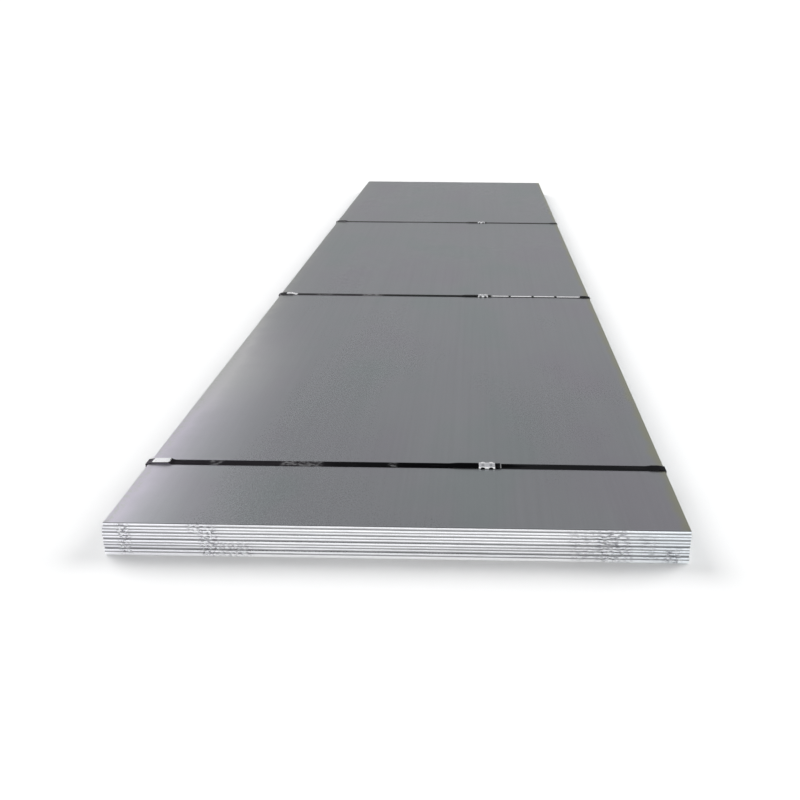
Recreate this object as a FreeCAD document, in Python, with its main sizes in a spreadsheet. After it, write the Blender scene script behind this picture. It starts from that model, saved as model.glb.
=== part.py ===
import FreeCAD, Part
import os
import Sketcher
from FreeCAD import Vector

# A pack of ten hot-rolled steel plates, held by three steel straps that go
# right round it. Each strap's two ends lap on top of the pack and are joined
# by a notched steel seal.
#
# X runs across the plates, Y along them and Z up. The origin is in the middle
# of the footprint, on the surface that the straps' undersides stand on.

doc = FreeCAD.newDocument("strapped_plate_pack")

# ---------------------------------------------------------------- dimensions
sheet = doc.addObject("Spreadsheet::Sheet", "Dimensions")
ROWS = [
    # alias, value in mm, meaning
    ("plate_width", 1504, "width of the top plate: 1500 nominal and its allowance"),
    ("plate_length", 6000, "length of a plate"),
    ("plate_gauge", 9.5, "thickness of a plate"),
    ("edge_rollover", 0.8, "radius that the shear rolls on the upper edges"),
    ("edge_burr_break", 0.25, "broken lower edges"),
    ("strap_width", 32, "width of a strap"),
    ("strap_gauge", 1.0, "thickness of a strap"),
    ("strap_side_room", 4.8, "from half the top plate's width to the strap's side run"),
    ("strap_layer_gap", 0.1, "between the two layers of a lap"),
    ("corner_radius", 1.0, "inside radius where a strap turns an edge"),
    ("bend_radius", 15, "inside radius of a strap's gentle bends"),
    ("bow_left_start", 13, "left bow: from the plate's side to its near shoulder"),
    ("bow_left_end", 58, "left bow: from the plate's side to its far shoulder"),
    ("bow_left_foot", 71, "left bow: from the plate's side to its foot"),
    ("bow_left_low", 4.0, "left bow: height at its near shoulder"),
    ("bow_left_high", 5.0, "left bow: height at its far shoulder"),
    ("bow_right_start", 14, "right bow: from the plate's side to its near shoulder"),
    ("bow_right_end", 36, "right bow: from the plate's side to its far shoulder"),
    ("bow_right_foot", 52, "right bow: from the plate's side to its foot"),
    ("bow_right_low", 2.5, "right bow: height at its near shoulder"),
    ("bow_right_high", 2.5, "right bow: height at its far shoulder"),
    ("seal_gauge", 1.0, "thickness of a seal's sheet"),
    ("seal_length", 47, "length of a seal"),
    ("seal_room", 0.3, "from a strap's edge to the seal's side"),
    ("seal_lip_gap", 8, "between the two lips folded under the straps"),
    ("seal_corner", 1.3, "outside radius along a seal's folds"),
    ("seal_offset", 238.0, "from the middle of the pack to a seal's middle"),
    ("notch_pitch", 24, "between the two notches of one side"),
    ("notch_width", 12, "length of a notch along the strap"),
    ("notch_depth", 5.2, "depth of a notch from the seal's side"),
    ("tab_rise", 3.0, "height that a notch's tab is turned up"),
    ("tab_reach", 0.9, "how far a turned-up tab stands out past the seal's side"),
    ("tab_slack", 0.5, "gap beside a tab at each end of its notch"),
    ("tail_length", 18, "strap past the seal on its outer layer"),
    ("lap_length", 60, "hidden strap past the seal on its inner layer"),
    ("lap_ramp", 24, "length over which the outer layer comes down"),
    ("seal_ramp", 10, "length over which the inner layer comes down"),
    ("seal_ramp_start", 4, "from the seal's end to that slope"),
    ("strap_front_at", 355, "front strap, from the front end of the pack"),
    ("strap_middle_at", 2215, "middle strap, from the front end of the pack"),
    ("strap_rear_at", 4105, "rear strap, from the front end of the pack"),
]
# How far each plate lies out of line, and how much wider it is than the top
# plate, bottom plate first: across, along, wider. The lower plates reach a few
# millimetres further out than the top one, mostly on the left.
STACK = [
    (0.7, 0.5, 6.2), (0.2, -1.2, 7.4), (0.0, 2.0, 7.2), (-0.4, 0.4, 6.8), (-0.2, -2.0, 4.8),
    (0.3, 1.1, 6.6), (-0.3, -0.6, 6.0), (0.1, 0.8, 6.4), (1.2, -1.0, 4.0), (2.2, 0.0, 0.0),
]
for number, (across, along, wider) in enumerate(STACK, start=1):
    ROWS.append(("across_%02d_plate" % number, across, "plate %d out of line across" % number))
    ROWS.append(("along_%02d_plate" % number, along, "plate %d out of line along" % number))
    ROWS.append(("wider_%02d_plate" % number, wider, "plate %d wider than the top one" % number))

for row, (alias, value, meaning) in enumerate(ROWS, start=1):
    sheet.set("A%d" % row, alias)
    sheet.set("B%d" % row, str(value))
    sheet.set("C%d" % row, meaning)
    sheet.setAlias("B%d" % row, alias)
doc.recompute()

SIZE = dict((alias, float(value)) for alias, value, meaning in ROWS)
PLATES = len(STACK)


class Length:
    """A length: its value now, and the expression that gives it."""

    def __init__(self, value, text):
        self.value = value
        self.text = text

    def __add__(self, other):
        return Length(self.value + other.value, "%s + %s" % (self.text, other.text))

    def __sub__(self, other):
        return Length(self.value - other.value, "%s - (%s)" % (self.text, other.text))

    def __neg__(self):
        return Length(-self.value, "-(%s)" % self.text)

    def times(self, number):
        return Length(self.value * number, "(%s) * %s" % (self.text, number))


def cell(alias):
    return Length(SIZE[alias], "Dimensions.%s" % alias)


def plane_of(body, role):
    for feature in body.Origin.OriginFeatures:
        if feature.Role == role:
            return feature
    raise RuntimeError("no plane " + role)


def new_sketch(body, name, role):
    sketch = body.newObject("Sketcher::SketchObject", name)
    sketch.AttachmentSupport = [(plane_of(body, role), "")]
    sketch.MapMode = "FlatFace"
    return sketch


def closed_outline(sketch, points):
    """Adds a closed outline of straight lines through points of plain numbers,
    joined end to end. Returns the index of its first line."""
    first = sketch.GeometryCount
    count = len(points)
    for k in range(count):
        a, b = points[k], points[(k + 1) % count]
        sketch.addGeometry(Part.LineSegment(Vector(a[0], a[1], 0), Vector(b[0], b[1], 0)), False)
    for k in range(count):
        sketch.addConstraint(Sketcher.Constraint(
            "Coincident", first + k, 2, first + (k + 1) % count, 1))
    return first


def hold_point(sketch, line, x, z):
    """Holds the start of a line at two lengths from the sketch's origin."""
    for kind, length in (("DistanceX", x), ("DistanceY", z)):
        index = sketch.addConstraint(Sketcher.Constraint(
            kind, -1, 1, line, 1, length.value))
        sketch.setExpression("Constraints[%d]" % index, length.text)


def held_outline(sketch, points):
    """A closed outline whose every corner is held by two lengths."""
    first = closed_outline(sketch, [(x.value, z.value) for x, z in points])
    for k, (x, z) in enumerate(points):
        hold_point(sketch, first + k, x, z)
    return first


def edges_along(shape, axis, places, tolerance=0.02):
    """Names of the straight edges along an axis whose other two coordinates
    are one of the places given."""
    names = []
    other = [k for k in range(3) if k != axis]
    for number, edge in enumerate(shape.Edges, start=1):
        if len(edge.Vertexes) != 2:
            continue
        a, b = edge.Vertexes[0].Point, edge.Vertexes[1].Point
        if abs(a[other[0]] - b[other[0]]) > 1e-4 or abs(a[other[1]] - b[other[1]]) > 1e-4:
            continue
        for place in places:
            if abs(a[other[0]] - place[0]) < tolerance and abs(a[other[1]] - place[1]) < tolerance:
                names.append("Edge%d" % number)
                break
    return names


# -------------------------------------------------------------------- plates
# A sheared plate: flat faces, square ends, upper edges rolled over by the
# shear and lower edges with their burr broken.
def make_plate(number):
    body = doc.addObject("PartDesign::Body", "plate_%02d_body" % number)
    body.Label = "plate_%02d" % number
    sketch = new_sketch(body, "plate_%02d_outline" % number, "XY_Plane")
    half_width = (cell("plate_width") + cell("wider_%02d_plate" % number)).times(0.5)
    half_length = cell("plate_length").times(0.5)
    held_outline(sketch, [
        (-half_width, -half_length), (half_width, -half_length),
        (half_width, half_length), (-half_width, half_length)])
    pad = body.newObject("PartDesign::Pad", "plate_%02d_gauge" % number)
    pad.Profile = sketch
    pad.setExpression("Length", "Dimensions.plate_gauge")
    sketch.Visibility = False
    doc.recompute()

    top = []
    for index, edge in enumerate(pad.Shape.Edges, start=1):
        if all(abs(v.Point.z - SIZE["plate_gauge"]) < 1e-4 for v in edge.Vertexes):
            top.append("Edge%d" % index)
    fillet = body.newObject("PartDesign::Fillet", "plate_%02d_rollover" % number)
    fillet.Base = (pad, top)
    fillet.setExpression("Radius", "Dimensions.edge_rollover")
    doc.recompute()

    bottom = []
    for index, edge in enumerate(fillet.Shape.Edges, start=1):
        if all(abs(v.Point.z) < 1e-4 for v in edge.Vertexes):
            bottom.append("Edge%d" % index)
    chamfer = body.newObject("PartDesign::Chamfer", "plate_%02d_burr_break" % number)
    chamfer.Base = (fillet, bottom)
    chamfer.setExpression("Size", "Dimensions.edge_burr_break")

    body.setExpression(".Placement.Base.x", "Dimensions.across_%02d_plate" % number)
    body.setExpression(".Placement.Base.y", "Dimensions.along_%02d_plate" % number)
    body.setExpression(".Placement.Base.z",
                       "Dimensions.strap_gauge + %d * Dimensions.plate_gauge" % (number - 1))
    doc.recompute()
    return body


# -------------------------------------------------------------------- straps
# One strip of steel. From its outer end, the tail, it runs left over its own
# inner end and through the seal, comes down to the top plate, bows up a little
# before the left edge, turns down the side, goes under the pack, comes up the
# right side, bows again, and passes through the seal as the inner layer.
# The steel side of the strip is drawn point by point. The outer side runs
# parallel to it, one strap gauge away.
def strap_route():
    gauge = cell("strap_gauge")
    top = gauge + cell("plate_gauge").times(PLATES)
    side = cell("plate_width").times(0.5) + cell("strap_side_room")
    left = cell("plate_width").times(0.5) - cell("across_%02d_plate" % PLATES)
    right = cell("plate_width").times(0.5) + cell("across_%02d_plate" % PLATES)
    inner_layer = top + cell("seal_gauge")
    outer_layer = inner_layer + gauge + cell("strap_layer_gap")
    seal_right = cell("seal_offset") + cell("seal_length").times(0.5)
    seal_left = cell("seal_offset") - cell("seal_length").times(0.5)
    inner_end = seal_left - cell("lap_length")
    step_top = inner_end - cell("strap_gauge").times(2.0)
    step_foot = step_top - cell("lap_ramp")
    slope_top = seal_right + cell("seal_ramp_start")
    slope_foot = slope_top + cell("seal_ramp")
    return [
        (seal_right + cell("tail_length"), outer_layer),
        (step_top, outer_layer),
        (step_foot, top),
        (-(left - cell("bow_left_foot")), top),
        (-(left - cell("bow_left_end")), top + cell("bow_left_high")),
        (-(left - cell("bow_left_start")), top + cell("bow_left_low")),
        (-side, top),
        (-side, gauge),
        (side, gauge),
        (side, top),
        (right - cell("bow_right_start"), top + cell("bow_right_low")),
        (right - cell("bow_right_end"), top + cell("bow_right_high")),
        (right - cell("bow_right_foot"), top),
        (slope_foot, top),
        (slope_top, inner_layer),
        (inner_end, inner_layer),
    ]


def offset_points(points, distance):
    """The same open route, moved to its outer side with mitred corners.
    The route goes anticlockwise seen from the front, so that side is on the
    right of the way it runs."""
    normals = []
    for a, b in zip(points, points[1:]):
        dx, dz = b[0] - a[0], b[1] - a[1]
        run = (dx * dx + dz * dz) ** 0.5
        normals.append((dz / run, -dx / run))
    result = []
    for k, point in enumerate(points):
        first = normals[max(k - 1, 0)]
        second = normals[min(k, len(normals) - 1)]
        scale = distance / (1.0 + first[0] * second[0] + first[1] * second[1])
        result.append((point[0] + scale * (first[0] + second[0]),
                       point[1] + scale * (first[1] + second[1])))
    return result


def make_strap(name, place_alias):
    body = doc.addObject("PartDesign::Body", name + "_body")
    body.Label = name
    sketch = new_sketch(body, name + "_route", "XZ_Plane")
    route = strap_route()
    inner = [(x.value, z.value) for x, z in route]
    outer = offset_points(inner, SIZE["strap_gauge"])
    count = len(inner)
    first = closed_outline(sketch, inner + outer[::-1])
    for k, (x, z) in enumerate(route):
        hold_point(sketch, first + k, x, z)
    # line k joins inner points k and k+1; line end is the cut across the
    # strip's inner end, and the last line is the cut across its tail
    end = first + count - 1
    last = first + 2 * count - 1
    sketch.addConstraint(Sketcher.Constraint("Vertical", end))
    sketch.addConstraint(Sketcher.Constraint("Vertical", last))
    for k in range(count - 1):
        partner = last - 1 - k
        sketch.addConstraint(Sketcher.Constraint("Parallel", first + k, partner))
        index = sketch.addConstraint(Sketcher.Constraint(
            "Distance", partner, 2, first + k, SIZE["strap_gauge"]))
        sketch.setExpression("Constraints[%d]" % index, "Dimensions.strap_gauge")
    pad = body.newObject("PartDesign::Pad", name + "_width")
    pad.Profile = sketch
    pad.setExpression("Length", "Dimensions.strap_width")
    pad.Midplane = True
    sketch.Visibility = False
    doc.recompute()

    # tight corners where the strap turns the pack's four edges, then the
    # gentle bends; a bend's outer face has the strap's gauge more or less
    tight = [6, 7, 8, 9]
    over = [2 - 1, 4, 5, 10, 11, 14]      # crests, bent down
    under = [2, 3, 12, 13]                # feet, bent up
    steps = [
        ("corner_inside", [inner[k] for k in tight], "Dimensions.corner_radius"),
        ("corner_outside", [outer[k] for k in tight],
         "Dimensions.corner_radius + Dimensions.strap_gauge"),
        ("crest_inside", [inner[k] for k in over] + [outer[k] for k in under],
         "Dimensions.bend_radius"),
        ("crest_outside", [outer[k] for k in over] + [inner[k] for k in under],
         "Dimensions.bend_radius + Dimensions.strap_gauge"),
    ]
    tip = pad
    for label, places, radius in steps:
        names = edges_along(tip.Shape, 1, places)
        if len(names) != len(places):
            raise RuntimeError("%s %s: %d of %d edges" % (name, label, len(names), len(places)))
        fillet = body.newObject("PartDesign::Fillet", name + "_" + label)
        fillet.Base = (tip, names)
        fillet.setExpression("Radius", radius)
        doc.recompute()
        tip = fillet

    body.setExpression(".Placement.Base.y",
                       "Dimensions.%s - Dimensions.plate_length / 2" % place_alias)
    doc.recompute()
    return body


# --------------------------------------------------------------------- seals
# A sleeve of sheet steel folded round both layers of the strap, with its two
# lips underneath. Two notches are cut into each side, and the metal of each
# notch is turned up as a short tab. Its own origin is in its middle, on the
# top plate.
def make_seal(name, place_alias):
    body = doc.addObject("PartDesign::Body", name + "_body")
    body.Label = name
    gauge = cell("seal_gauge")
    inside = cell("strap_width").times(0.5) + cell("seal_room")
    outside = inside + gauge
    lip = cell("seal_lip_gap").times(0.5)
    floor = gauge
    roof = gauge + cell("strap_gauge").times(2.0) + cell("strap_layer_gap").times(2.0)
    crown = roof + gauge
    zero = Length(0.0, "0")

    # the section, across the strap
    sketch = new_sketch(body, name + "_section", "YZ_Plane")
    held_outline(sketch, [
        (-lip, zero), (-lip, floor), (-inside, floor), (-inside, roof),
        (inside, roof), (inside, floor), (lip, floor), (lip, zero),
        (outside, zero), (outside, crown), (-outside, crown), (-outside, zero)])
    pad = body.newObject("PartDesign::Pad", name + "_sleeve")
    pad.Profile = sketch
    pad.setExpression("Length", "Dimensions.seal_length")
    pad.Midplane = True
    sketch.Visibility = False
    doc.recompute()
    places = [(sy * outside.value, z) for sy in (-1, 1) for z in (0.0, crown.value)]
    names = edges_along(pad.Shape, 0, places)
    if len(names) != 4:
        raise RuntimeError("%s folds: %d of 4 edges" % (name, len(names)))
    fold = body.newObject("PartDesign::Fillet", name + "_folds")
    fold.Base = (pad, names)
    fold.setExpression("Radius", "Dimensions.seal_corner")
    doc.recompute()

    # one notch in each side, seen from above: narrower at its bottom
    half = cell("notch_width").times(0.5)
    root = outside - cell("notch_depth")
    mouth = outside + gauge
    sketch = new_sketch(body, name + "_notch", "XY_Plane")
    along = cell("notch_pitch").times(0.5)
    narrow = half.times(0.7)
    for sign in (1, -1):
        shapes = [(along - half, mouth), (along - half, root + gauge.times(1.5)),
                  (along - narrow, root), (along + narrow, root),
                  (along + half, root + gauge.times(1.5)), (along + half, mouth)]
        if sign < 0:
            shapes = [(x, -y) for x, y in reversed(shapes)]
        held_outline(sketch, shapes)
    notch = body.newObject("PartDesign::Pocket", name + "_notches")
    notch.Profile = sketch
    notch.Type = "Length"
    notch.Midplane = True
    notch.setExpression("Length", "(%s) * 2 + 2" % crown.text)
    sketch.Visibility = False
    doc.recompute()
    if fold.Shape.Volume - notch.Shape.Volume < 50.0:
        raise RuntimeError(name + ": the notches cut nothing")

    # its tab, turned up at the notch's bottom
    sketch = new_sketch(body, name + "_tab_section", "YZ_Plane")
    sketch.setExpression(".AttachmentOffset.Base.z", "Dimensions.notch_pitch / 2")
    bite = gauge.times(0.6)
    tip_y = outside + cell("tab_reach")
    for sign in (1, -1):
        shapes = [(root - bite, crown), (root - bite, roof), (root + bite, roof),
                  (tip_y, roof + cell("tab_rise")),
                  (tip_y - gauge.times(0.6), roof + cell("tab_rise") + gauge.times(0.8))]
        if sign < 0:
            shapes = [(-y, z) for y, z in reversed(shapes)]
        held_outline(sketch, shapes)
    tab = body.newObject("PartDesign::Pad", name + "_tabs")
    tab.Profile = sketch
    tab.Midplane = True
    tab.setExpression("Length", "Dimensions.notch_width * 0.7 - Dimensions.tab_slack")
    sketch.Visibility = False
    doc.recompute()

    other = body.newObject("PartDesign::Mirrored", name + "_second_pair")
    other.Originals = [notch, tab]
    other.MirrorPlane = (plane_of(body, "YZ_Plane"), [""])
    body.Tip = other
    body.setExpression(".Placement.Base.x", "Dimensions.seal_offset")
    body.setExpression(".Placement.Base.y",
                       "Dimensions.%s - Dimensions.plate_length / 2" % place_alias)
    body.setExpression(".Placement.Base.z",
                       "Dimensions.strap_gauge + %d * Dimensions.plate_gauge" % PLATES)
    doc.recompute()
    return body


pieces = [make_plate(number) for number in range(1, PLATES + 1)]
for end in ("front", "middle", "rear"):
    pieces.append(make_strap("strap_" + end, "strap_%s_at" % end))
    pieces.append(make_seal("seal_" + end, "strap_%s_at" % end))
doc.recompute()

# -------------------------------------------------------- checks and writing
for item in doc.Objects:
    if "Invalid" in item.State or "Error" in item.State:
        raise RuntimeError("%s is in state %s" % (item.Name, item.State))
for piece in pieces:
    if piece.Shape.isNull() or not piece.Shape.isValid():
        raise RuntimeError(piece.Label + " has no valid shape")
    if len(piece.Shape.Solids) != 1:
        raise RuntimeError("%s has %d solids" % (piece.Label, len(piece.Shape.Solids)))

os.makedirs("parts", exist_ok=True)
for piece in pieces:
    piece.Shape.exportStep("parts/%s.step" % piece.Label)
    box = piece.Shape.BoundBox
    print("%-14s volume %12.1f mm3  x %8.2f..%8.2f  y %8.2f..%8.2f  z %7.2f..%7.2f" % (
        piece.Label, piece.Shape.Volume, box.XMin, box.XMax, box.YMin, box.YMax,
        box.ZMin, box.ZMax))
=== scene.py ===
import bpy, bmesh, math, random
import numpy as np
from mathutils import Vector, Matrix


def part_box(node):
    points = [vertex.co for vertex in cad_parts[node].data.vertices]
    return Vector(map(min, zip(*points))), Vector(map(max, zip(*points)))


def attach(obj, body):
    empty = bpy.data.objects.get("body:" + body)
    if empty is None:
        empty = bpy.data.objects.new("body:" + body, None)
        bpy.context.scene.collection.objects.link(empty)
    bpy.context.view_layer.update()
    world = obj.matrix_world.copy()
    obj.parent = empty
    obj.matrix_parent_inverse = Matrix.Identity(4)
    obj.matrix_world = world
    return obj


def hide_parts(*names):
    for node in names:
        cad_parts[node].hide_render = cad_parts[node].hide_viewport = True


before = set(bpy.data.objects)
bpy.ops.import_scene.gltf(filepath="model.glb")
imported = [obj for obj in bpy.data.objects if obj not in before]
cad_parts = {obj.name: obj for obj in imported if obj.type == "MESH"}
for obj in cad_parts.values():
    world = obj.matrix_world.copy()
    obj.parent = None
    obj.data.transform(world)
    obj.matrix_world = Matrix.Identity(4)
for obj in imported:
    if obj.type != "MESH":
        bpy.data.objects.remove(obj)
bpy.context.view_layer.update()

# ------------------------------------------------------------------ helpers
def hash01(n):
    n = (n * 0x9E3779B1) & 0xFFFFFFFF
    n ^= n >> 15; n = (n * 0x85EBCA6B) & 0xFFFFFFFF
    n ^= n >> 13; n = (n * 0xC2B2AE35) & 0xFFFFFFFF
    n ^= n >> 16
    return n / 4294967295.0

def smooth_noise(s, seed, step):
    """Value noise along a length s (array, metres), features of size step. -1..1"""
    s = np.asarray(s, float) / step
    i = np.floor(s).astype(int)
    f = s - i
    f = f * f * (3 - 2 * f)
    a = np.array([hash01(int(k) * 7919 + seed * 104729) for k in i])
    b = np.array([hash01((int(k) + 1) * 7919 + seed * 104729) for k in i])
    return (a + (b - a) * f) * 2 - 1

def new_object(name, verts, faces, mats, face_mats=None, smooth=None):
    me = bpy.data.meshes.new(name)
    me.from_pydata([tuple(v) for v in verts], [], faces)
    for m in mats:
        me.materials.append(m)
    if face_mats is not None:
        me.polygons.foreach_set("material_index", face_mats)
    if smooth is not None:
        me.polygons.foreach_set("use_smooth", smooth)
    me.validate()
    me.update()
    o = bpy.data.objects.new(name, me)
    bpy.context.scene.collection.objects.link(o)
    return o

# -------------------------------------------------------------- node helpers
class Mat:
    def __init__(self, name):
        self.m = bpy.data.materials.new(name)
        self.m.use_nodes = True
        self.t = self.m.node_tree
        self.bsdf = self.t.nodes["Principled BSDF"]
        self.coord = self.t.nodes.new("ShaderNodeTexCoord").outputs["Object"]
        sep = self.t.nodes.new("ShaderNodeSeparateXYZ")
        self.link(self.coord, sep.inputs[0])
        self.x, self.y, self.z = sep.outputs

    def link(self, a, b):
        self.t.links.new(a, b)

    def put(self, sock, v):
        if isinstance(v, bpy.types.NodeSocket):
            self.link(v, sock)
        else:
            sock.default_value = v

    def math(self, op, a, b=None, c=None, clamp=False):
        n = self.t.nodes.new("ShaderNodeMath")
        n.operation = op
        n.use_clamp = clamp
        self.put(n.inputs[0], a)
        if b is not None:
            self.put(n.inputs[1], b)
        if c is not None:
            self.put(n.inputs[2], c)
        return n.outputs[0]

    def band(self, v, lo, hi, soft):
        """1 where v is between lo and hi, with soft sides"""
        up = self.remap(v, lo - soft, lo + soft, 0, 1)
        dn = self.remap(v, hi - soft, hi + soft, 1, 0)
        return self.math("MULTIPLY", up, dn)

    def remap(self, v, a, b, c, d, smooth=True):
        n = self.t.nodes.new("ShaderNodeMapRange")
        n.interpolation_type = "SMOOTHSTEP" if smooth else "LINEAR"
        self.put(n.inputs["Value"], v)
        n.inputs["From Min"].default_value = a
        n.inputs["From Max"].default_value = b
        n.inputs["To Min"].default_value = c
        n.inputs["To Max"].default_value = d
        return n.outputs["Result"]

    def vec(self, x, y, z):
        n = self.t.nodes.new("ShaderNodeCombineXYZ")
        self.put(n.inputs[0], x); self.put(n.inputs[1], y); self.put(n.inputs[2], z)
        return n.outputs[0]

    def scaled(self, sx, sy, sz, off=(0, 0, 0)):
        n = self.t.nodes.new("ShaderNodeMapping")
        self.link(self.coord, n.inputs["Vector"])
        n.inputs["Scale"].default_value = (sx, sy, sz)
        n.inputs["Location"].default_value = off
        return n.outputs[0]

    def noise(self, vector, scale, detail=4, rough=0.55, distort=0.0, color=False):
        n = self.t.nodes.new("ShaderNodeTexNoise")
        self.put(n.inputs["Vector"], vector)
        n.inputs["Scale"].default_value = scale
        n.inputs["Detail"].default_value = detail
        n.inputs["Roughness"].default_value = rough
        n.inputs["Distortion"].default_value = distort
        return n.outputs["Color" if color else "Fac"]

    def voronoi(self, vector, scale, feature="F1", out="Distance", rand=1.0):
        n = self.t.nodes.new("ShaderNodeTexVoronoi")
        n.feature = feature
        self.put(n.inputs["Vector"], vector)
        n.inputs["Scale"].default_value = scale
        if "Randomness" in n.inputs:
            n.inputs["Randomness"].default_value = rand
        return n.outputs[out]

    def mix(self, f, a, b, mode="MIX"):
        n = self.t.nodes.new("ShaderNodeMix")
        n.data_type = "RGBA"
        n.blend_type = mode
        n.clamp_factor = True
        self.put(n.inputs[0], f)
        for s, v in ((n.inputs[6], a), (n.inputs[7], b)):
            if isinstance(v, bpy.types.NodeSocket):
                self.link(v, s)
            else:
                s.default_value = (*v, 1) if len(v) == 3 else v
        return n.outputs[2]

    def ramp(self, f, stops, interp="LINEAR"):
        n = self.t.nodes.new("ShaderNodeValToRGB")
        n.color_ramp.interpolation = interp
        el = n.color_ramp.elements
        while len(el) > 1:
            el.remove(el[-1])
        el[0].position = stops[0][0]
        el[0].color = (*stops[0][1], 1) if len(stops[0][1]) == 3 else stops[0][1]
        for p, c in stops[1:]:
            e = el.new(p)
            e.color = (*c, 1)
        self.put(n.inputs[0], f)
        return n.outputs[0]

    def bump(self, h, strength, distance, normal=None):
        n = self.t.nodes.new("ShaderNodeBump")
        n.inputs["Strength"].default_value = strength
        n.inputs["Distance"].default_value = distance
        self.put(n.inputs["Height"], h)
        if normal is not None:
            self.link(normal, n.inputs["Normal"])
        return n.outputs[0]

    def set(self, **kw):
        names = {"color": "Base Color", "metallic": "Metallic", "rough": "Roughness", "normal": "Normal",
                 "ior": "IOR", "spec": "Specular IOR Level", "tint": "Specular Tint", "coat": "Coat Weight",
                 "coat_rough": "Coat Roughness"}
        for k, v in kw.items():
            s = self.bsdf.inputs[names[k]]
            if isinstance(v, bpy.types.NodeSocket):
                self.link(v, s)
            else:
                s.default_value = (*v, 1) if isinstance(v, tuple) and len(v) == 3 else v


def grey(v):
    return (v, v, v)

LO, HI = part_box("plate_10")
TOP = HI.z
X_LEFT, X_RIGHT = LO.x, HI.x
L2 = (HI.y - LO.y) / 2
GAUGE = HI.z - LO.z
BASE_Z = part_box("plate_01")[0].z
MM = 0.001
STRAP_W, STRAP_T = 32 * MM, 1.0 * MM
STRAP_Y = [(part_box("strap_" + e)[0].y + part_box("strap_" + e)[1].y) / 2 for e in ("front", "middle", "rear")]
SEAL_X = (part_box("seal_front")[0].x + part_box("seal_front")[1].x) / 2

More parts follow.
